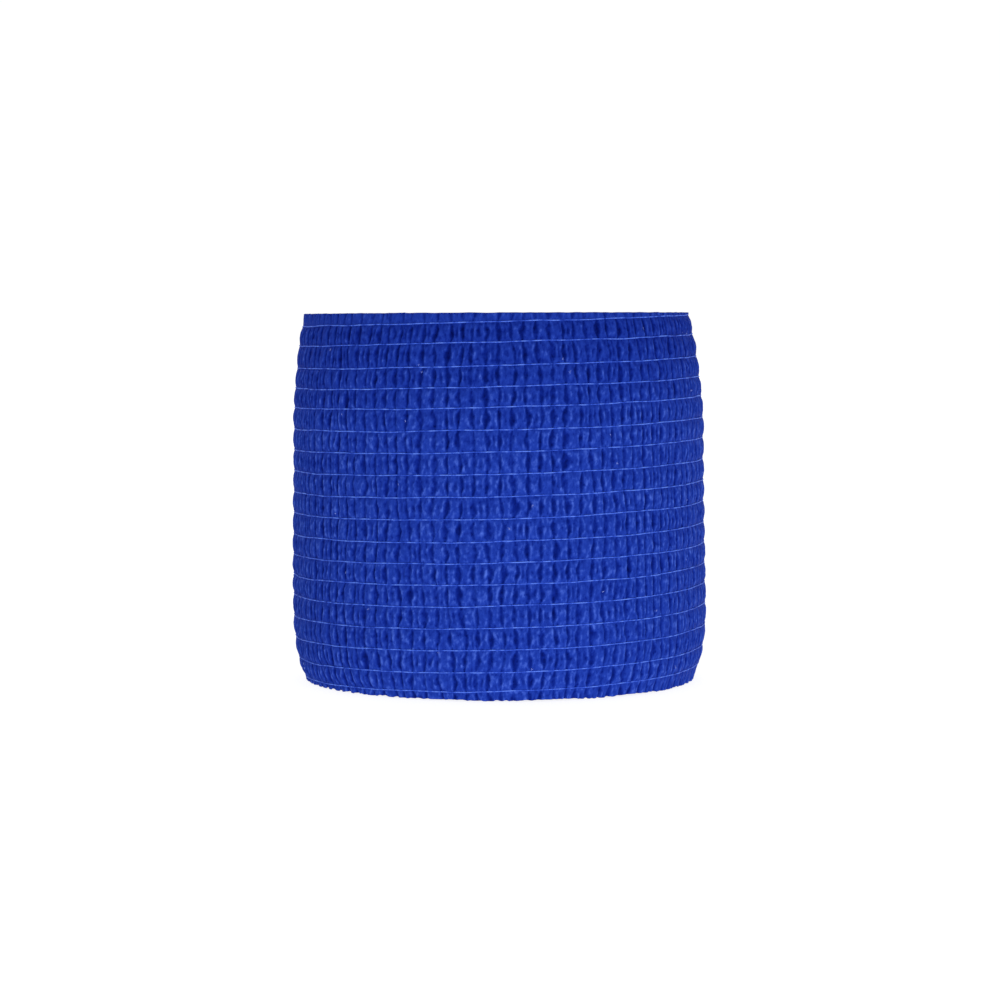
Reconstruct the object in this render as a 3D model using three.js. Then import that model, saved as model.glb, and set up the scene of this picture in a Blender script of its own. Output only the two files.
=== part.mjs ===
// A roll of cohesive bandage that stands on one of its ends.
// One strip of crinkled nonwoven, with elastic threads bonded in it, is wound on itself. There is no core:
// the thin mandrel was drawn out and left a narrow eye. The cut tail sticks to the turn beneath, at the back.
// Millimetres, +Z up along the winding axis, -Y to the front, with the origin under the middle of the roll.
import * as THREE from "three";
import { mergeVertices } from "three/addons/utils/BufferGeometryUtils.js";

// The strip
const stripWidth = 50; // and so the height of the roll
const layerThickness = 0.87; // one crinkled turn as it lies in the roll
const bandRise = 0.32; // how far the cloth puffs out between two threads
const creaseRise = 0.15; // how far the cross creases of a band lie in or out
const threadLean = 0.7; // the threads stand this much higher on the right than in the middle of the front

// The roll
const rollRadius = 28.4; // the middle of the outer wall, between the threads
const eyeRadius = 5.2;
const eyeOval = 0.25; // the eye closed a little when the mandrel was drawn out
const ovalAngle = degrees(-17); // the direction in which it stayed widest
const tailAngle = degrees(202); // where the strip is cut, counted from the front towards the right
const startAngle = degrees(305); // where the strip starts, in the eye
const lump = 0.05; // the height of each slow wave in the wall

// The mesh
const columns = 72;
const edgeGap = 0.06; // the share of a column over which the cut end of the strip drops to the turn below

// The heights of the threads in the middle of the front, 2.8 mm apart, as evenly as crinkles let them lie
const threads = [
  { height: 1.05 },
  { height: 3.6 },
  { height: 6.6 },
  { height: 9.4 },
  { height: 12.4 },
  { height: 15.1 },
  { height: 17.8 },
  { height: 20.65 },
  { height: 23.5 },
  { height: 26.45 },
  { height: 29.3 },
  { height: 32.25 },
  { height: 35.1 },
  { height: 38.05 },
  { height: 40.6 },
  { height: 43.3 },
  { height: 46.4 },
  { height: 49.0 },
];

// How far the outer wall lies inside rollRadius at each height: the edges of the strip are wound tighter than
// its middle, and the top more than the bottom.
const waist = [
  { height: 0, inset: 1.3 },
  { height: 2.3, inset: 0.9 },
  { height: 4.5, inset: 0.45 },
  { height: 7.5, inset: 0.08 },
  { height: 11, inset: -0.1 },
  { height: 17, inset: 0 },
  { height: 24, inset: 0.1 },
  { height: 30, inset: 0.15 },
  { height: 35.5, inset: 0.05 },
  { height: 38.8, inset: 0.3 },
  { height: 42.1, inset: 0.7 },
  { height: 45.4, inset: 1.15 },
  { height: 50, inset: 1.8 },
];

// Rings of points on the two ends. A share of 0 is the eye and 1 the outer wall, and the rise is counted up
// from the height of that end. The turns stand unevenly at the top, and most of the lower end is flat.
const topRings = [
  { share: 0.985, rise: 0 },
  { share: 0.88, rise: -0.1 },
  { share: 0.75, rise: -0.45 },
  { share: 0.61, rise: -0.2 },
  { share: 0.47, rise: -0.4 },
  { share: 0.33, rise: -0.15 },
  { share: 0.19, rise: -0.45 },
  { share: 0.06, rise: -0.3 },
  { share: 0, rise: -0.7 },
];
const bottomRings = [
  { share: 0, rise: 0.6 },
  { share: 0.08, rise: 0 },
  { share: 0.33, rise: 0 },
  { share: 0.66, rise: 0 },
  { share: 0.98, rise: 0 },
];
const eyeHeights = [{ height: 33 }, { height: 17 }];

// Where rings of points cross a band, as shares of the way from one thread to the next
const bandRings = [
  { across: 0, puff: 0 },
  { across: 0.26, puff: 1 },
  { across: 0.74, puff: 1 },
];
const rimDrop = 0.25; // the outer turn's edges are rounded over this height
const rimPuff = 0.3;

// Slow waves in the wall: how many go round the roll, how they turn with each millimetre up, and their start
const slowWaves = [
  { round: 3, climb: 0.11, start: 0 },
  { round: 5, climb: -0.2, start: 1.3 },
];

// Cross creases: two sets of waves that make uneven folds together, each turned a little from band to band
const creaseWaves = [
  { round: 23, turnByBand: 2.4 },
  { round: 7, turnByBand: 1.1 },
];

function degrees(angle) {
  return (angle * Math.PI) / 180;
}

function turnShare(angle, from) {
  const turn = (angle - from) / (2 * Math.PI);
  return turn - Math.floor(turn);
}

function insetAt(height) {
  const above = waist.findIndex((row) => row.height >= height);
  const upper = waist[Math.max(above, 1)];
  const lower = waist[Math.max(above, 1) - 1];
  const share = (height - lower.height) / (upper.height - lower.height);
  return lower.inset + (upper.inset - lower.inset) * share;
}

// The outer wall from the lower rim to the upper one: heights, with the puff that the cloth has there
function wallRings() {
  const rings = [{ height: rimDrop, puff: rimPuff, band: -1 }];
  for (let band = 0; band < threads.length - 1; band += 1) {
    const lower = threads[band].height;
    const upper = threads[band + 1].height;
    for (const ring of bandRings) {
      rings.push({ height: lower + (upper - lower) * ring.across, puff: ring.puff, band });
    }
  }
  rings.push({ height: threads[threads.length - 1].height, puff: 0, band: threads.length });
  rings.push({ height: stripWidth - rimDrop, puff: rimPuff, band: threads.length });
  return rings;
}

// The outline of half the roll, as rings of points that go up the outer wall, in over the top, down the eye
// and out beneath. Each ring says what share of the way it lies from the eye to the outer wall.
function halfOutline() {
  const wall = wallRings().map((row) => ({ share: 1, ...row }));
  const end = { puff: rimPuff, band: -1 };
  const top = topRings.map((row) => ({ share: row.share, height: stripWidth + row.rise, ...end }));
  const eye = eyeHeights.map((row) => ({ share: 0, height: row.height, ...end }));
  const bottom = bottomRings.map((row) => ({ share: row.share, height: row.rise, ...end }));
  return [...wall, ...top, ...eye, ...bottom];
}

// How far one turn of strip has carried its face outwards at an angle, counted from half a layer
function spiralAt(angle, edgeAngle) {
  return layerThickness * (turnShare(angle, edgeAngle) - 0.5);
}

// The radius of the eye's wall, which gains one layer in a turn and drops by it where the strip starts
function eyeWall(angle) {
  return eyeRadius + spiralAt(angle, startAngle) + eyeOval * Math.cos(2 * (angle - ovalAngle));
}

// The radius of the outer wall, which gains one layer in a turn and drops by it at the cut tail
function outerWall(angle, ring) {
  let radius = rollRadius - insetAt(ring.height) + spiralAt(angle, tailAngle) - bandRise * (1 - ring.puff);
  for (const wave of slowWaves) {
    radius += lump * Math.sin(wave.round * angle + wave.climb * ring.height + wave.start);
  }
  let crease = 1;
  for (const wave of creaseWaves) {
    crease *= Math.sin(wave.round * angle + wave.turnByBand * ring.band);
  }
  return radius + creaseRise * crease * ring.puff;
}

// The column of points just past the tail is drawn back against the tail's edge, so that the edge is a step.
// The same is done in the eye, for the start of the strip.
function drawnBack(angle, edgeAngle) {
  const step = (2 * Math.PI) / columns;
  const past = turnShare(angle, edgeAngle) * 2 * Math.PI;
  return past < step ? angle - past + step * edgeGap : angle;
}

// The rise of a thread on its way round. It fades from the outermost threads to the rims, which are level.
function leanAt(angle, height) {
  const lowest = threads[0].height;
  const highest = threads[threads.length - 1].height;
  const hold = Math.min(1, height / lowest, (stripWidth - height) / (stripWidth - highest));
  return threadLean * Math.sin(angle) * hold;
}

// The wound strip: the half outline turned round the axis, then every point is set in or out to the spiral.
// The last column and the last ring repeat the first ones, and are merged with them to close the surface.
function bandageRoll() {
  const outline = halfOutline();
  const nominal = outline.map(
    (ring) => new THREE.Vector2(eyeRadius + (rollRadius - eyeRadius) * ring.share, ring.height),
  );
  const turned = new THREE.LatheGeometry([...nominal, nominal[0]], columns);
  turned.deleteAttribute("normal");
  turned.deleteAttribute("uv");
  const points = turned.getAttribute("position");
  for (let index = 0; index < points.count; index += 1) {
    const ring = outline[(index % (outline.length + 1)) % outline.length];
    const column = Math.floor(index / (outline.length + 1)) % columns;
    const even = (column * 2 * Math.PI) / columns;
    const atEye = drawnBack(even, startAngle);
    const atWall = drawnBack(even, tailAngle);
    const angle = atEye + (atWall - atEye) * ring.share;
    const inner = eyeWall(atEye);
    const outer = outerWall(atWall, ring);
    const radius = inner + (outer - inner) * ring.share;
    const height = ring.height + (ring.share === 1 ? leanAt(angle, ring.height) : 0);
    points.setXYZ(index, radius * Math.sin(angle), -radius * Math.cos(angle), height);
  }
  const geometry = mergeVertices(turned);
  geometry.computeBoundingBox();
  const middle = geometry.boundingBox.getCenter(new THREE.Vector3());
  geometry.translate(-middle.x, -middle.y, 0);
  geometry.computeVertexNormals();
  return geometry;
}

const crinkledCloth = new THREE.MeshStandardMaterial({
  name: "crinkled_cloth",
  color: 0x1f39a4,
  roughness: 0.95,
  metalness: 0,
});

const roll = new THREE.Mesh(bandageRoll(), crinkledCloth);
roll.name = "bandage_roll";

const group = new THREE.Group();
group.add(roll);

export default group;
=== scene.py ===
import math

import bpy
import numpy as np
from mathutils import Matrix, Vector


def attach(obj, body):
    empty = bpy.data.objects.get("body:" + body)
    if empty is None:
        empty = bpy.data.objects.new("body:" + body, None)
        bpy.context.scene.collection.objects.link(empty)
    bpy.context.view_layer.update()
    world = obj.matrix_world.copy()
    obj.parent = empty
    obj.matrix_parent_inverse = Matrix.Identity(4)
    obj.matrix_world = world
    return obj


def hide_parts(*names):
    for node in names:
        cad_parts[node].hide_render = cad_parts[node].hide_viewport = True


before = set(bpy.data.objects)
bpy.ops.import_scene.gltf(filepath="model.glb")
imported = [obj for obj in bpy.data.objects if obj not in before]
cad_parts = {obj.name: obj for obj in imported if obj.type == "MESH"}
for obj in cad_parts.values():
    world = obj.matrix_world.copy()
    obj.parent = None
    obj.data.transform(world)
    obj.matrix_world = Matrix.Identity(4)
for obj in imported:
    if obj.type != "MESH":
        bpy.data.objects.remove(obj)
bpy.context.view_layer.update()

# The first turn
# The start of the one long strip, which lines the eye that the winding mandrel left. The strip is crinkled
# nonwoven with eighteen elastic threads bonded in it. This turn is wound tightest and shows its inner face.
mm = 0.001
strip_width = 50 * mm
layer = 0.87 * mm  # one crinkled turn as it lies in the roll
cloth_thickness = 0.34 * mm
roll_radius = 28.4 * mm  # to the middle of the last turn, half way up
eye_radius = 5.2 * mm
eye_oval = 0.25 * mm
oval_angle = math.radians(-17)
tail_angle = math.radians(202)
start_angle = math.radians(305)
axis_place = np.array([-0.22, -0.22, 0.0]) * mm  # the solid is centred by its outline, not by its axis
roll_lean = 0.008  # the turns lie a little farther left, the higher they are
whole_turn = 2 * math.pi
wound_angle = 26 * whole_turn + (tail_angle - start_angle) % whole_turn

# The threads' heights in the middle of the front, and how they stray from them
thread_heights = np.array([
    1.4, 3.9, 6.8, 9.65, 12.5, 15.25, 18.0, 20.75, 23.65,
    26.5, 29.35, 32.2, 35.0, 37.9, 40.5, 43.2, 46.2, 48.8,
]) * mm
thread_lean = 0.7 * mm
side_rise = 0.25 * mm  # what the threads rise besides at the far right
thread_wavers = [
    {"height": 0.1 * mm, "along": 8 * mm, "by_thread": 7.3, "seed": 11},
    {"height": 0.04 * mm, "along": 2.2 * mm, "by_thread": 5.1, "seed": 12},
]
top_margin = len(thread_heights) - 1  # bands count from 0 over the lowest thread, and the lower margin is -1

# How far the last turn lies inside roll_radius at each height: the strip's edges are wound tighter
waist = {
    "height": np.array([0, 0.9, 2.3, 4.5, 7.5, 11, 17, 24, 30, 35.5, 38.8, 42.1, 45.4, 50]) * mm,
    "inset": np.array([1.8, 1.5, 0.92, 0.42, 0.07, 0.0, 0.07, 0.2, 0.32, 0.32, 0.5, 0.83, 1.24, 2.12]) * mm,
}
slow_waves = [
    {"round": 3, "climb": 0.11 / mm, "start": 0.0},
    {"round": 5, "climb": -0.2 / mm, "start": 1.3},
]
slow_height = 0.05 * mm

# The gathers are narrow hollows between the puckers, one in each pitch. Depths are shares of hollow_depth.
pucker_pitch = 1.72 * mm
hollow_depth = 0.42 * mm
thread_notch = 0.23 * mm  # how far the threads draw the cloth in
margin_arch = 0.75  # how far the cloth puffs out again at a rim of the roll, as a share of thread_notch
gather_drifts = [  # how far the gathers stray from an even pitch
    {"pitches": 0.32, "along": 6 * mm, "up": 16 * mm, "by_band": 0, "seed": 1},
    {"pitches": 0.2, "along": 2.3 * mm, "up": 5 * mm, "by_band": 0, "seed": 2},
    {"pitches": 0.08, "along": 1.2 * mm, "up": 0.9 * mm, "by_band": 3.3, "seed": 3},
]
gather_bow = 0.24  # the spread of how far the gathers bend aside between two threads, in pitches
gather_depth = {"least": 0.52, "by_gather": 0.1, "by_band": 0.28}
gather_shape = {"steep": 0.78, "sloping": 0.24}
gather_width = {"least": 0.18 * mm, "spread": 0.12 * mm}
width_at_thread = 0.4
width_between = 0.8
rim_place = 1.9  # how many widths of a gather its rims lie from its middle
rim_width = 0.17 * mm
dent_depth = 0.5  # of the small hollows in the middle of some puckers
dent_width = {"at_thread": 0.1 * mm, "between": 0.14 * mm}
dent_share = {"spread": 2, "less": 0.7}
dent_rim_place = 1.8

# The fine relief of the felted cloth: how far apart its marks lie along the strip and up it
marks = {
    "lines": {"along": 0.8 * mm, "up": 1.3 * mm, "seed": 8},
    "patches": {"along": 2.5 * mm, "up": 2 * mm, "seed": 9},
    "lumps": {"along": 0.7 * mm, "up": 0.85 * mm, "seed": 10},
    "fluff": {"along": 0.38 * mm, "up": 0.5 * mm, "seed": 11},
    "shades": {"along": 5 * mm, "up": 4 * mm, "seed": 12},
}
line_sharpness = 2.4
rim_crest = 0.8
line_crest = 0.25
crest_height = 0.06 * mm
lump_height = 0.06 * mm
relief_at_thread = 0.3  # the share of the relief that is left beside a thread

# How pale the cloth is painted, from deep blue at 0 to pale blue at 1, and what each mark adds, painted shade
# and a painted highlight among them
smooth_pale = 0.67
# hollow is painted shade, crest and lumps a painted highlight where the cloth stands out; fluff and shades
# are random mottle
painted_light_and_mottle = {"hollow": -0.52, "crest": 0.21, "lumps": 0.18, "fluff": 0.16, "shades": 0.04}
# painted shade in the grooves where the threads draw the cloth in
painted_groove_shade = -0.05
# painted shade: the top third of the strip is painted darker, as the light falls off towards the upper edge
painted_top_shade = -0.13
edge_pale = 0.6
margin_pale = 0.8
margin_calm = 0.4  # how much smoother and more even the cloth is above the top thread

# The cut edges
foot_height = 0.06 * mm
fray_depth = 0.18 * mm
upper_waver = 0.04 * mm
upper_tilt = 0.1 * mm  # how much lower the upper edge lies in front than at the far right
cut_lip = 0.05 * mm  # how far a cut edge is rounded out
back_gap = 0.02 * mm  # between the plain face of a turn and the turn on which it lies


def scattered(column, row, seed):
    """Repeatable random numbers from 0 to 1, one for each whole column and row."""
    mixed = column.astype(np.int64) * 374761393 + row.astype(np.int64) * 668265263 + seed * 974634777
    mixed = (mixed ^ (mixed >> 13)) * 1274126177 & 0xFFFFFFFF
    return ((mixed ^ (mixed >> 16)) & 0xFFFFFF) / 0xFFFFFF


def wander(across, up, seed):
    """Smooth noise from about -1 to 1, which changes once or so in each unit across and up."""
    across, up = np.broadcast_arrays(across, up)
    left = np.floor(across)
    low = np.floor(up)
    share = across - left
    rise = up - low
    ease_share = share ** 3 * (share * (share * 6 - 15) + 10)
    ease_rise = rise ** 3 * (rise * (rise * 6 - 15) + 10)
    corners = []
    for step_up in (0, 1):
        for step_across in (0, 1):
            slope = scattered(left + step_across, low + step_up, seed) * whole_turn
            corners.append(np.cos(slope) * (share - step_across) + np.sin(slope) * (rise - step_up))
    lower = corners[0] + (corners[1] - corners[0]) * ease_share
    upper = corners[2] + (corners[3] - corners[2]) * ease_share
    return 1.5 * (lower + (upper - lower) * ease_rise)


def strip_angle(along):
    """The angle wound from the start of the strip after a length of it."""
    gain = (roll_radius - eye_radius) / wound_angle
    return (np.sqrt(eye_radius ** 2 + 2 * gain * along) - eye_radius) / gain


def strip_length(wound):
    """The length of strip from its start to an angle."""
    gain = (roll_radius - eye_radius) / wound_angle
    return eye_radius * wound + gain * wound ** 2 / 2


def middle_radius(wound, height):
    """The distance from the winding axis to the middle of the strip's layer."""
    share = wound / wound_angle
    angle = start_angle + wound
    outermost = roll_radius - np.interp(height, waist["height"], waist["inset"])
    for wave in slow_waves:
        phase = wave["round"] * angle + wave["climb"] * height + wave["start"]
        outermost = outermost + slow_height * np.sin(phase)
    oval = eye_oval * np.cos(2 * (angle - oval_angle)) * (1 - share) ** 2
    return eye_radius + oval + (outermost - eye_radius) * share


def thread_rise(wound):
    """How far the threads rise to the right at an angle."""
    side = np.sin(start_angle + wound)
    return thread_lean * side + side_rise * np.clip(side, 0, 1) ** 6


def thread_height(thread, wound):
    """The height of a thread where it passes an angle. It wavers a little."""
    along = strip_length(wound)
    height = thread_heights[thread] + thread_rise(wound)
    for row in thread_wavers:
        height = height + row["height"] * wander(along / row["along"], thread * row["by_thread"], row["seed"])
    return height


def gather_count(along, height, band):
    """How many gathers lie between the strip's start and a point. They stray from an even pitch."""
    count = along / pucker_pitch
    for row in gather_drifts:
        up = height / row["up"] + band * row["by_band"]
        count = count + row["pitches"] * wander(along / row["along"], up, row["seed"])
    return count


def gathers(count, band, swell):
    """How deep the gathers are at each point, and how high the rims beside them."""
    gather = np.round(count)
    bow = gather_bow * (scattered(gather, band, 13) - 0.5) * swell ** 2
    aside = np.abs(count - gather + bow) * pucker_pitch
    depth = gather_depth["least"] + gather_depth["by_gather"] * scattered(gather, gather * 0, 4)
    depth = depth + gather_depth["by_band"] * scattered(gather, band, 5)
    width = gather_width["least"] + gather_width["spread"] * scattered(gather, band, 6)
    width = width * (width_at_thread + width_between * swell ** 1.3)
    steep = np.exp(-((aside / width) ** 3))
    sloping = 0.5 + 0.5 * np.cos(np.pi * np.clip(2 * aside / pucker_pitch, 0, 1))
    hollow = depth * (gather_shape["steep"] * steep + gather_shape["sloping"] * sloping)
    return hollow, depth * np.exp(-(((aside - rim_place * width) / rim_width) ** 2))


def dents(count, band, swell):
    """How deep the dents in the middle of the puckers are, and how high the rims beside them."""
    pucker = np.floor(count) + 0.5
    aside = np.abs(count - pucker) * pucker_pitch
    share = np.clip(dent_share["spread"] * scattered(pucker * 2, band, 7) - dent_share["less"], 0, 1)
    depth = dent_depth * swell ** 2 * share
    width = dent_width["at_thread"] + dent_width["between"] * swell
    hollow = depth * np.exp(-((aside / width) ** 3))
    return hollow, depth * np.exp(-(((aside - dent_rim_place * width) / rim_width) ** 2))


def crinkles(along, height, band, across):
    """How far the cloth of a band lies in at each point, and how pale it is painted there, with painted shade
    in the hollows and a painted highlight on the rims, crest lines and lumps. Each gather is a hollow like a
    lens from one thread to the next, with a rim on either side. Many run on into the next band."""
    swell = np.sin(np.pi * np.clip(across, 0, 1))
    band_row = np.broadcast_to(band, (along + height).shape)
    count = gather_count(along, height, band)
    gather_hollow, gather_rim = gathers(count, band_row, swell)
    dent_hollow, dent_rim = dents(count, band_row, swell)
    level = {}
    for name, mark in marks.items():
        level[name] = wander(along / mark["along"], height / mark["up"], mark["seed"])
    lines = np.clip(1 - line_sharpness * np.abs(level["lines"]), -0.3, 1)
    patches = 0.6 + 0.4 * level["patches"]
    level["hollow"] = gather_hollow + dent_hollow
    level["crest"] = rim_crest * (gather_rim + dent_rim) + line_crest * lines * patches

    relief = relief_at_thread + (1 - relief_at_thread) * swell ** 0.8
    sunk = relief * (hollow_depth * level["hollow"] - crest_height * level["crest"])
    sunk = sunk - lump_height * level["lumps"]
    # the painted shade of the hollows is lighter beside a thread, where the relief is lower
    level["hollow"] = level["hollow"] * (0.6 + 0.4 * relief)
    # painted shade in the hollows, a painted highlight on the crests and lumps, and random mottle
    pale = smooth_pale + sum(strength * level[name] for name, strength in painted_light_and_mottle.items())
    # painted shade: the top third is painted darker, as the light falls off towards the upper edge
    pale = pale + painted_top_shade * np.clip(height / strip_width * 3 - 2, 0, 1)
    calm = np.where(band_row == top_margin, margin_calm, 0)
    return sunk * (1 - calm), pale + (margin_pale - pale) * calm


def arch_over(across):
    """How far a band has puffed out from its grooves, from 0 to 1, at a share of the way across it."""
    return 1 - np.abs(2 * across - 1) ** 2.2


def strip_rows(rows_in_band, rows_in_margin):
    """The rows of points up the strip, as a band's number and the share of the way across it. They stand
    closer together at the threads."""
    rows = [(-1, share) for share in np.linspace(0, 1, rows_in_margin, endpoint=False)]
    even = np.arange(rows_in_band) / rows_in_band
    close = 0.5 - 0.5 * np.cos(np.pi * even)
    for band in range(top_margin):
        rows += [(band, share) for share in 0.45 * close + 0.55 * even]
    rows += [(top_margin, share) for share in np.linspace(0, 1, rows_in_margin + 1)]
    return np.array(rows)


def cut_edges(wound):
    """The heights of the strip's lower and upper cut edges. The lower one is frayed."""
    along = strip_length(wound)
    teeth = np.clip(0.65 + 1.3 * wander(along / (0.8 * mm), along / (9 * mm), 21), 0, 1)
    frayed = np.clip(0.75 + 0.9 * wander(along / (7 * mm), 0.5, 23), 0, 1)
    lower = foot_height + fray_depth * (1 - teeth * frayed)
    upper = strip_width + upper_waver * wander(along / (1.4 * mm), along / (30 * mm), 22)
    return lower, upper - upper_tilt * (1 - np.sin(start_angle + wound))


def placed(radius, wound, height):
    """Points at a distance from the axis, at an angle wound from the strip's start, and at a height."""
    angle = start_angle + wound
    leaning = radius * np.sin(angle) + roll_lean * (strip_width / 2 - height)
    return np.stack([leaning, -radius * np.cos(angle), height], axis=-1) + axis_place


def finished_face(wound, side):
    """A face of the strip in full detail, seen from outside the roll for side 1 and from the eye for side -1.
    Returns the distances from the axis, the heights and how pale each point is painted, with painted shade
    and a painted highlight in it, a row for each column."""
    rows = strip_rows(rows_in_band=12, rows_in_margin=5)
    band = rows[:, 0]
    across = rows[:, 1]
    column = wound[:, None]
    threads = np.stack([thread_height(thread, wound) for thread in range(top_margin + 1)], axis=1)
    lower_edge, upper_edge = cut_edges(wound)
    borders = np.concatenate([lower_edge[:, None], threads, upper_edge[:, None]], axis=1)
    below = borders[:, (band + 1).astype(int)]
    above = borders[:, (band + 2).astype(int)]
    height = below + (above - below) * across
    in_margin = (band < 0) | (band == top_margin)
    from_thread = np.where(band < 0, 1 - across, across)
    arch = np.where(in_margin, margin_arch * from_thread ** 0.6, arch_over(across))
    share = np.where(in_margin, from_thread / 2, across)
    sunk, pale = crinkles(strip_length(column), height, band, share)
    proud = -sunk - thread_notch * (1 - arch)
    radius = middle_radius(column, height) + side * (layer / 2 + proud)
    # painted shade in the grooves at the threads
    return radius, height, pale + painted_groove_shade * (1 - arch)


def closed_strip(wound, side):
    """The points of a length of strip, a column for each angle: up the finished face, over the upper edge,
    down the plain face that lies on the next turn, and back under the lower edge."""
    radius, height, pale = finished_face(wound, side)
    levels = np.array([0.99, 0.9, 0.5, 0.1, 0.01])
    plain_height = height[:, :1] + (height[:, -1:] - height[:, :1]) * levels
    plain = middle_radius(wound[:, None], plain_height) - side * (layer / 2 - back_gap)
    plain[:, 0] = radius[:, -1] - side * cloth_thickness
    plain[:, -1] = radius[:, 0] - side * cloth_thickness
    upper_lip = radius[:, -1:] - side * cloth_thickness / 2
    lower_lip = radius[:, :1] - side * cloth_thickness / 2
    all_radius = np.concatenate([radius, upper_lip, plain, lower_lip], axis=1)
    lip_heights = [height[:, -1:] + cut_lip, plain_height, height[:, :1] - cut_lip]
    all_height = np.concatenate([height, *lip_heights], axis=1)
    rest_pale = np.full((len(wound), len(levels) + 2), edge_pale)
    all_pale = np.concatenate([pale, rest_pale], axis=1)
    return placed(all_radius, wound[:, None], all_height), all_height, all_pale


def surface_normals(points, side):
    """The directions that the closed strip faces at its points."""
    along = np.gradient(points, axis=0)
    round_about = np.roll(points, -1, axis=1) - np.roll(points, 1, axis=1)
    facing = side * np.cross(along, round_about)
    facing /= np.linalg.norm(facing, axis=2, keepdims=True)
    return facing


def strip_piece(name, points, facing, along, height, pale, side):
    """A mesh of a length of strip with its ends closed. Its UV is its place on the flat strip."""
    columns, ring = points.shape[:2]
    column, place = np.meshgrid(np.arange(columns - 1), np.arange(ring), indexing="ij")
    following = (place + 1) % ring
    corners = [column * ring + place, (column + 1) * ring + place, (column + 1) * ring + following]
    corners.append(column * ring + following)
    faces = np.stack(corners[:: side], axis=-1).reshape(-1, 4).tolist()
    first_end = list(range(ring))
    last_end = list(range((columns - 1) * ring, columns * ring))
    faces.append(first_end[::side])
    faces.append(last_end[:: -side])
    mesh = bpy.data.meshes.new(name)
    mesh.from_pydata(points.reshape(-1, 3).tolist(), [], faces)
    mesh.polygons.foreach_set("use_smooth", [True] * len(mesh.polygons))
    corner_points = np.empty(len(mesh.loops), dtype=np.int32)
    mesh.loops.foreach_get("vertex_index", corner_points)
    lengths = np.broadcast_to(along[:, None], height.shape)
    flat = np.stack([lengths, height], axis=-1).reshape(-1, 2) / strip_width
    mesh.uv_layers.new(name="flat_strip").data.foreach_set("uv", flat[corner_points].ravel())
    # the pale attribute carries painted shade and a painted highlight besides the cloth's random mottle
    mesh.attributes.new("pale", "FLOAT", "POINT").data.foreach_set("value", pale.ravel())
    mesh.normals_split_custom_set_from_vertices(facing.reshape(-1, 3).tolist())
    piece = bpy.data.objects.new(name, mesh)
    bpy.context.collection.objects.link(piece)
    return piece


class Shade:
    """A socket in a material's nodes. Sums on it add Math nodes, and make() adds any other node."""

    def __init__(self, tree, socket=None):
        self.tree = tree
        self.socket = socket

    def make(self, kind, settings=None, inputs=None, output=0):
        node = self.tree.nodes.new("ShaderNode" + kind)
        for name, setting in (settings or {}).items():
            if name == "stops":
                while len(node.color_ramp.elements) < len(setting):
                    node.color_ramp.elements.new(0.5)
                for element, (place, colour) in zip(node.color_ramp.elements, setting):
                    element.position = place
                    element.color = (*colour, 1)
            else:
                setattr(node, name, setting)
        for name, value in (inputs or {}).items():
            if isinstance(value, Shade):
                self.tree.links.new(value.socket, node.inputs[name])
            else:
                node.inputs[name].default_value = value
        return Shade(self.tree, node.outputs[output] if len(node.outputs) else None)

    def sum(self, operation, first, second):
        return self.make("Math", {"operation": operation}, {0: first, 1: second})

    def __add__(self, other):
        return self.sum("ADD", self, other)

    def __radd__(self, other):
        return self.sum("ADD", other, self)

    def __sub__(self, other):
        return self.sum("SUBTRACT", self, other)

    def __rsub__(self, other):
        return self.sum("SUBTRACT", other, self)

    def __mul__(self, other):
        return self.sum("MULTIPLY", self, other)

    def __rmul__(self, other):
        return self.sum("MULTIPLY", other, self)

    def limited(self):
        return self.make("Clamp", None, {"Value": self})


def linear(red, green, blue):
    """A colour as it is seen on a screen, from 0 to 255, as the linear light that a shader takes."""
    parts = []
    for part in (red, green, blue):
        share = part / 255
        parts.append(share / 12.92 if share <= 0.04045 else ((share + 0.055) / 1.055) ** 2.4)
    return tuple(parts)


def blank_material(name):
    """A new material with no nodes yet, and a Shade to add them with."""
    material = bpy.data.materials.new(name)
    material.use_nodes = True
    material.node_tree.nodes.clear()
    return material, Shade(material.node_tree)


def stretched_noise(shade, flat, across, up, detail):
    """Noise that follows the flat strip, with one wave in each length across and up."""
    scale = (strip_width / across, strip_width / up, 1)
    placed_flat = shade.make("Mapping", {"vector_type": "POINT"}, {"Vector": flat, "Scale": scale})
    settings = {"noise_dimensions": "2D"}
    return shade.make("TexNoise", settings, {"Vector": placed_flat, "Scale": 1.0, "Detail": detail})


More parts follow.
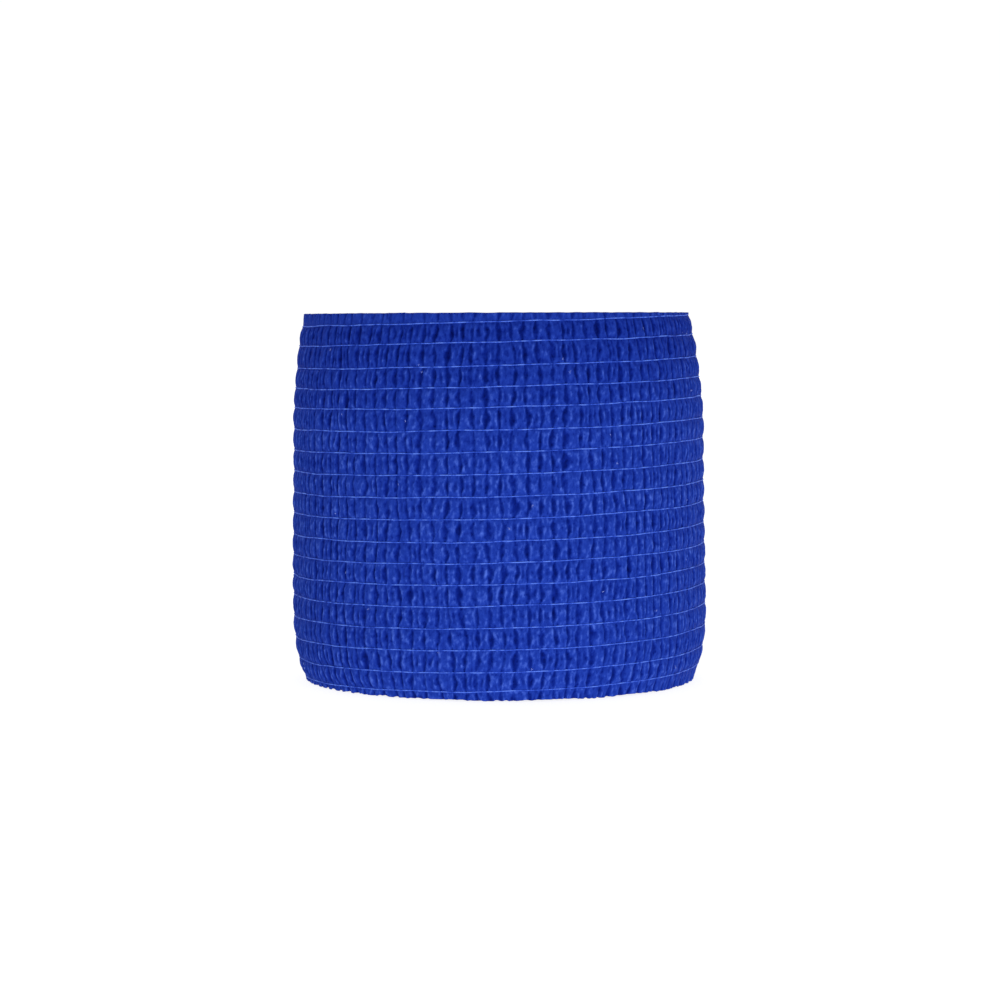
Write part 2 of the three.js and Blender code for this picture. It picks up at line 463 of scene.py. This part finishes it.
def crinkled_cloth():
    """Royal blue nonwoven: matt, felted from fine fibres, with a painted highlight on its crests and painted
    shade, deep blue, in its hollows.
    """
    pore_start = 0.56
    pore_sharpness = 4
    pore_dark = 0.35
    mottle = 0.25
    bump_height = 0.12 * mm
    material, shade = blank_material("crinkled_cloth")
    flat = shade.make("UVMap", {"uv_map": "flat_strip"})
    # the pale attribute holds painted shade in the hollows and a painted highlight on the crests
    pale = shade.make("Attribute", {"attribute_name": "pale"}, None, "Fac")
    fibres = stretched_noise(shade, flat, across=0.23 * mm, up=0.5 * mm, detail=3.0)
    felt = stretched_noise(shade, flat, across=0.4 * mm, up=0.65 * mm, detail=4.0)
    pores = ((felt - pore_start) * pore_sharpness).limited()
    level = pale + (fibres - 0.5) * mottle + (felt - 0.5) * mottle - pores * pore_dark
    stops = [
        (0.0, linear(0, 8, 77)),
        (0.35, linear(6, 27, 115)),
        (0.7, linear(25, 51, 145)),
        (1.0, linear(63, 91, 184)),
    ]
    blue = shade.make("ValToRGB", {"stops": stops}, {"Fac": level.limited()})
    rise = fibres * 0.6 + felt * 0.4
    bumped = shade.make("Bump", None, {"Height": rise, "Strength": 0.6, "Distance": bump_height})
    finish = {"Base Color": blue, "Roughness": 0.85, "Specular IOR Level": 0.03, "Normal": bumped}
    surface = shade.make("BsdfPrincipled", None, finish)
    shade.make("OutputMaterial", None, {"Surface": surface})
    return material


cloth = crinkled_cloth()

first_turns = 1.05  # a little more than one, so that none of the inner turns shows in the eye
first_columns = np.linspace(0, whole_turn * first_turns, 210)
first_points, first_heights, first_pale = closed_strip(first_columns, side=-1)
first_turn = strip_piece(
    "first_turn",
    first_points,
    surface_normals(first_points, side=-1),
    strip_length(first_columns),
    first_heights,
    first_pale,
    side=-1,
)
first_turn.data.materials.append(cloth)
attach(first_turn, "root")
float(strip_length(first_columns[-1]))

# The inner turns
# The strip from the second turn to the last but one. Only its cut edges show, at the two ends of the roll,
# crinkled and packed against each other, with some turns a little higher or lower than their neighbours.
inner_step = 0.385 * mm
last_turns = 1.012  # the last turn laps a little over its own start
last_start = wound_angle - whole_turn * last_turns
inner_from = strip_length(first_columns[-1])
inner_to = strip_length(last_start)
inner_along = np.linspace(inner_from, inner_to, int((inner_to - inner_from) / inner_step))
inner_wound = strip_angle(inner_along)

# How far the cut edges of the inner turns lie inside the strip's width, and how they waver
upper_drop = 0.32 * mm
lower_rise = 0.2 * mm
least_rise = 0.03 * mm
slow_waver = 0.2 * mm
turn_waver = 0.16 * mm
fine_waver = 0.12 * mm

# Rows of points from a cut edge inwards: the strip is thin and wavy there, and fills its layer farther in
edge_rows = {
    "way_in": np.array([0.03, 0.5, 1.7]) * mm,
    "thickness": np.array([0.3, 0.5, 0.85]) * mm,
    "waviness": np.array([0.22, 0.16, 0]) * mm,
    # painted shade: paler at the cut edge and painted darker the farther in between the packed turns
    "pale": np.array([0.62, 0.36, 0.1]),
}
packed_lip = 0.06 * mm
# the cut lip is painted palest, the light end of the painted shade between the turns
packed_lip_pale = 0.8
lower_seed = 41
upper_seed = 42


def packed_edges(wound):
    """The heights of the inner turns' lower and upper edges."""
    along = strip_length(wound)
    slow = slow_waver * wander(along / (70 * mm), 0.5, 31)
    by_turn = turn_waver * wander(wound / whole_turn * 1.7, 2.5, 32)
    fine = fine_waver * wander(along / (1.1 * mm), 4.5, 33)
    upper = strip_width - (upper_drop + slow + by_turn - fine)
    lower = np.maximum(lower_rise + slow - by_turn + fine, least_rise)
    return lower, upper


def edge_wave(along, row, seed):
    """How the crinkled edge winds out and in along the strip, from -1 to 1."""
    wave = 0.9 * wander(along / (0.85 * mm), along / (13 * mm), seed)
    wave = wave + 0.3 * wander(along / (0.45 * mm), 1.5 + 0.3 * row, seed + 5)
    return np.clip(wave, -1, 1)


def packed_strip(wound):
    """The points of the inner turns, a column for each angle."""
    along = strip_length(wound)
    lower, upper = packed_edges(wound)
    way_in, thickness, waviness, painted_gap_shade = edge_rows.values()
    thickness = np.concatenate([thickness, thickness[::-1]])
    waviness = np.concatenate([waviness, waviness[::-1]])
    painted_gap_shade = np.concatenate([painted_gap_shade, painted_gap_shade[::-1]])
    heights = np.concatenate([lower[:, None] + way_in, upper[:, None] - way_in[::-1]], axis=1)
    seeds = [lower_seed] * len(way_in) + [upper_seed] * len(way_in)
    waves = [edge_wave(along, row, seed) * waviness[row] for row, seed in enumerate(seeds)]
    middle = middle_radius(wound[:, None], heights) + np.stack(waves, axis=1)
    outer = middle + thickness / 2
    inner = middle - thickness / 2
    radius = np.concatenate([outer, middle[:, -1:], inner[:, ::-1], middle[:, :1]], axis=1)
    upper_lip = heights[:, -1:] + packed_lip
    lower_lip = heights[:, :1] - packed_lip
    height = np.concatenate([heights, upper_lip, heights[:, ::-1], lower_lip], axis=1)
    # painted shade between the packed turns, with random fluff over it
    pale = np.concatenate([painted_gap_shade, [packed_lip_pale], painted_gap_shade, [packed_lip_pale]])
    fluff = 0.2 * wander(along / (0.6 * mm), 7.5, 35)
    return placed(radius, wound[:, None], height), height, pale + fluff[:, None]


inner_points, inner_heights, inner_pale = packed_strip(inner_wound)
inner_turns = strip_piece(
    "inner_turns",
    inner_points,
    surface_normals(inner_points, side=1),
    inner_along,
    inner_heights,
    inner_pale,
    side=1,
)
inner_turns.data.materials.append(cloth)
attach(inner_turns, "root")
float(inner_to - inner_from)

# The last turn
# The end of the strip, which is all that shows from the side. Between the threads the cloth is gathered into
# puckers, and its cut tail sticks to the turn beneath. It is three meshes, because one would be too heavy.
last_step = 0.15 * mm
last_lengths = 3
last_along = np.arange(strip_length(last_start), strip_length(wound_angle), last_step)
last_wound = strip_angle(last_along)
last_points, last_heights, last_pale = closed_strip(last_wound, side=1)
last_facing = surface_normals(last_points, side=1)
last_breaks = np.linspace(0, len(last_along) - 1, last_lengths + 1).astype(int)
for number in range(last_lengths):
    part = slice(last_breaks[number], last_breaks[number + 1] + 1)
    piece = strip_piece(
        f"last_turn_{number + 1}",
        last_points[part],
        last_facing[part],
        last_along[part],
        last_heights[part],
        last_pale[part],
        side=1,
    )
    piece.data.materials.append(cloth)
    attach(piece, "root")
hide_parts("bandage_roll")

# The elastic threads
# Eighteen fine pale threads, bonded in the strip as it is made, draw the cloth into its puckers. They lie in
# the grooves between the bands, and here and there the blue fibres cover them.
thread_radius = 0.08 * mm
thread_sides = 5
thread_step = 0.4 * mm
thread_lift = 0.05 * mm


def cloth_at_thread(thread, wound):
    """The distance from the axis to the cloth in a thread's groove."""
    height = thread_height(thread, wound)
    along = strip_length(wound)
    sunk, _ = crinkles(along, height, np.full(len(wound), thread), np.zeros(len(wound)))
    return middle_radius(wound, height) + layer / 2 - sunk - thread_notch


def thread_tubes():
    """The points and faces of the threads, each a closed tube, and the points' places on the flat strip."""
    along = np.arange(strip_length(last_start), strip_length(wound_angle), thread_step)
    wound = strip_angle(along)
    points = []
    faces = []
    flats = []
    for thread in range(len(thread_heights)):
        centre = cloth_at_thread(thread, wound)
        centre = centre + thread_lift * (1 + wander(along / (2.6 * mm), thread * 3.7, 51))
        height = thread_height(thread, wound)
        start = len(points)
        for side in range(thread_sides):
            turned = whole_turn * side / thread_sides
            radius = centre + thread_radius * math.cos(turned)
            ring = placed(radius, wound, height + thread_radius * math.sin(turned))
            points.extend(ring.tolist())
            flats.extend(np.stack([along / strip_width, height / strip_width], axis=-1).tolist())
        count = len(wound)
        for side in range(thread_sides):
            this_row = start + side * count
            next_row = start + (side + 1) % thread_sides * count
            for place in range(count - 1):
                faces.append((this_row + place, this_row + place + 1, next_row + place + 1, next_row + place))
        faces.append([start + side * count for side in range(thread_sides)])
        faces.append([start + side * count + count - 1 for side in reversed(range(thread_sides))])
    return points, faces, flats


def elastic_fibre():
    """Pale elastic seen through a haze of blue fibres, which hides it in places."""
    cover_contrast = 2.2
    fine_contrast = 0.8
    bare_level = 0.6
    material, shade = blank_material("elastic_thread")
    flat = shade.make("UVMap", {"uv_map": "flat_strip"})
    cover = stretched_noise(shade, flat, across=1.1 * mm, up=1.1 * mm, detail=2.0)
    fine = stretched_noise(shade, flat, across=0.25 * mm, up=0.25 * mm, detail=2.0)
    level = ((cover - 0.5) * cover_contrast + (fine - 0.5) * fine_contrast + bare_level).limited()
    stops = [
        (0.0, linear(18, 48, 150)),
        (0.45, linear(44, 77, 186)),
        (1.0, linear(80, 114, 212)),
    ]
    colour = shade.make("ValToRGB", {"stops": stops}, {"Fac": level})
    finish = {"Base Color": colour, "Roughness": 0.7, "Specular IOR Level": 0.1}
    surface = shade.make("BsdfPrincipled", None, finish)
    shade.make("OutputMaterial", None, {"Surface": surface})
    return material


thread_points, thread_faces, thread_flats = thread_tubes()
thread_mesh = bpy.data.meshes.new("elastic_threads")
thread_mesh.from_pydata(thread_points, [], thread_faces)
thread_mesh.polygons.foreach_set("use_smooth", [True] * len(thread_mesh.polygons))
corner_points = np.empty(len(thread_mesh.loops), dtype=np.int32)
thread_mesh.loops.foreach_get("vertex_index", corner_points)
thread_uv = np.array(thread_flats)[corner_points].ravel()
thread_mesh.uv_layers.new(name="flat_strip").data.foreach_set("uv", thread_uv)
elastic_threads = bpy.data.objects.new("elastic_threads", thread_mesh)
bpy.context.collection.objects.link(elastic_threads)
elastic_threads.data.materials.append(elastic_fibre())
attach(elastic_threads, "root")

# The loose fibres
# Bits of pale fibre that catch on the cohesive coating while the roll is wound and handled. Each is a small
# tangle of fine fibres that lies on the puckers of the last turn.
tangle_draws = np.random.default_rng(7)
tangle_count = 90
fibres_in_tangle = 5
fibre_radius = 0.022 * mm
fibre_sides = 4
fibre_stretches = 5
least_reach = 0.1 * mm
most_reach = 0.28 * mm
most_curl = 2.5
fibre_scatter = 0.07 * mm
most_lift = 0.07 * mm
bare_margin = 2 * mm  # no tangle is placed nearer than this to an end of the roll


def tangle_fibre(wound, height):
    """The points along one fibre, curled about a place on the last turn."""
    reach = tangle_draws.uniform(least_reach, most_reach)
    heading = tangle_draws.uniform(0, whole_turn)
    curl = tangle_draws.uniform(-most_curl, most_curl)
    shares = np.linspace(-1, 1, fibre_stretches + 1)
    turned = heading + curl * shares
    across = np.cumsum(np.cos(turned)) * reach / fibre_stretches
    up = np.cumsum(np.sin(turned)) * reach / fibre_stretches
    across = across - across.mean() + tangle_draws.normal(0, fibre_scatter)
    up = up - up.mean() + tangle_draws.normal(0, fibre_scatter)
    lift = tangle_draws.uniform(0, most_lift)
    places = wound + across / roll_radius
    heights = height + up
    thread = np.clip(np.searchsorted(thread_heights, heights) - 1, 0, top_margin - 1)
    lowest = thread_heights[thread] + thread_rise(places)
    share = np.clip((heights - lowest) / (thread_heights[thread + 1] - thread_heights[thread]), 0, 1)
    sunk, _ = crinkles(strip_length(places), heights, thread, share)
    proud = -sunk - thread_notch * (1 - arch_over(share))
    return placed(middle_radius(places, heights) + layer / 2 + proud + lift, places, heights)


def fibre_tube(path, start):
    """A closed tube of a few sides along a path, with its faces numbered from start."""
    onward = np.gradient(path, axis=0)
    onward /= np.linalg.norm(onward, axis=1, keepdims=True)
    outward = path * (1, 1, 0)
    sideways = np.cross(onward, outward)
    sideways /= np.linalg.norm(sideways, axis=1, keepdims=True)
    upward = np.cross(sideways, onward)
    points = []
    for side in range(fibre_sides):
        turned = whole_turn * side / fibre_sides
        points.append(path + fibre_radius * (math.cos(turned) * sideways + math.sin(turned) * upward))
    points = np.stack(points, axis=1).reshape(-1, 3)
    faces = []
    for stretch in range(len(path) - 1):
        for side in range(fibre_sides):
            following = (side + 1) % fibre_sides
            low = start + stretch * fibre_sides
            high = low + fibre_sides
            faces.append((low + side, low + following, high + following, high + side))
    faces.append([start + side for side in reversed(range(fibre_sides))])
    faces.append([start + len(points) - fibre_sides + side for side in range(fibre_sides)])
    return points.tolist(), faces


fibre_points = []
fibre_faces = []
for tangle in range(tangle_count):
    tangle_place = wound_angle - tangle_draws.uniform(0.02, 0.98) * whole_turn
    tangle_height = tangle_draws.uniform(bare_margin, strip_width - bare_margin)
    for fibre in range(fibres_in_tangle):
        points, faces = fibre_tube(tangle_fibre(tangle_place, tangle_height), len(fibre_points))
        fibre_points += points
        fibre_faces += faces


def pale_lint():
    """Undyed fibre, mottled where the blue shows through it."""
    material, shade = blank_material("pale_lint")
    place = shade.make("TexCoord", output="Object")
    mottle = shade.make("TexNoise", None, {"Vector": place, "Scale": 4000.0, "Detail": 2.0})
    stops = [(0.3, linear(70, 95, 190)), (0.7, linear(135, 150, 214))]
    colour = shade.make("ValToRGB", {"stops": stops}, {"Fac": mottle})
    finish = {"Base Color": colour, "Roughness": 0.8, "Specular IOR Level": 0.1}
    surface = shade.make("BsdfPrincipled", None, finish)
    shade.make("OutputMaterial", None, {"Surface": surface})
    return material


fibre_mesh = bpy.data.meshes.new("loose_fibres")
fibre_mesh.from_pydata(fibre_points, [], fibre_faces)
loose_fibres = bpy.data.objects.new("loose_fibres", fibre_mesh)
bpy.context.collection.objects.link(loose_fibres)
loose_fibres.data.materials.append(pale_lint())
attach(loose_fibres, "root")

# The studio
# A white floor that glows softly under a white sky, with a soft lamp beneath it at the front and another at
# the back right, and the camera just below the height of the roll's upper edge.
floor_radius = 4
floor_grey = 0.2
floor_glow = 0.85
sky_glow = 1.02
bpy.ops.object.select_all(action="DESELECT")
bpy.ops.mesh.primitive_circle_add(vertices=96, radius=floor_radius, fill_type="NGON", location=(0, 0, 0))
floor = bpy.context.object
floor.name = "studio_floor"
floor.visible_shadow = False  # the floor is clear to the lamps beneath it
white = bpy.data.materials.new("glowing_white")
white.use_nodes = True
white_sockets = white.node_tree.nodes["Principled BSDF"].inputs
white_sockets["Base Color"].default_value = (floor_grey, floor_grey, floor_grey, 1)
white_sockets["Roughness"].default_value = 0.9
white_sockets["Emission Color"].default_value = (1, 1, 1, 1)
white_sockets["Emission Strength"].default_value = floor_glow
floor.data.materials.append(white)

sky = bpy.data.worlds.new("white_sky")
bpy.context.scene.world = sky
sky.use_nodes = True
sky.node_tree.nodes["Background"].inputs["Color"].default_value = (1, 1, 1, 1)
sky.node_tree.nodes["Background"].inputs["Strength"].default_value = sky_glow

lamps = [
    {"name": "front_lamp", "place": (0.05, -0.2, -0.1), "width": 0.1, "watts": 0.3},
    {"name": "back_lamp", "place": (0.17, 0.2, -0.08), "width": 0.1, "watts": 0.12},
]
for lamp in lamps:
    bpy.ops.object.light_add(type="AREA", location=lamp["place"])
    light = bpy.context.object
    light.name = lamp["name"]
    light.data.size = lamp["width"]
    light.data.energy = lamp["watts"]
    aim = Vector((0, 0, strip_width / 2)) - light.location
    light.rotation_euler = aim.to_track_quat("-Z", "Y").to_euler()
    light.visible_camera = False

camera_aside = 0.18 * mm
camera_distance = 398 * mm
camera_height = 48.3 * mm
camera_pitch = math.radians(3.44)
camera_lens = 104.6
bpy.ops.object.camera_add(location=(camera_aside, -camera_distance, camera_height))
camera = bpy.context.object
camera.data.lens = camera_lens
camera.data.sensor_width = 36
camera.data.clip_start = 0.01
camera.rotation_euler = (math.pi / 2 - camera_pitch, 0, 0)
bpy.context.scene.camera = camera
bpy.context.scene.view_settings.view_transform = "Standard"
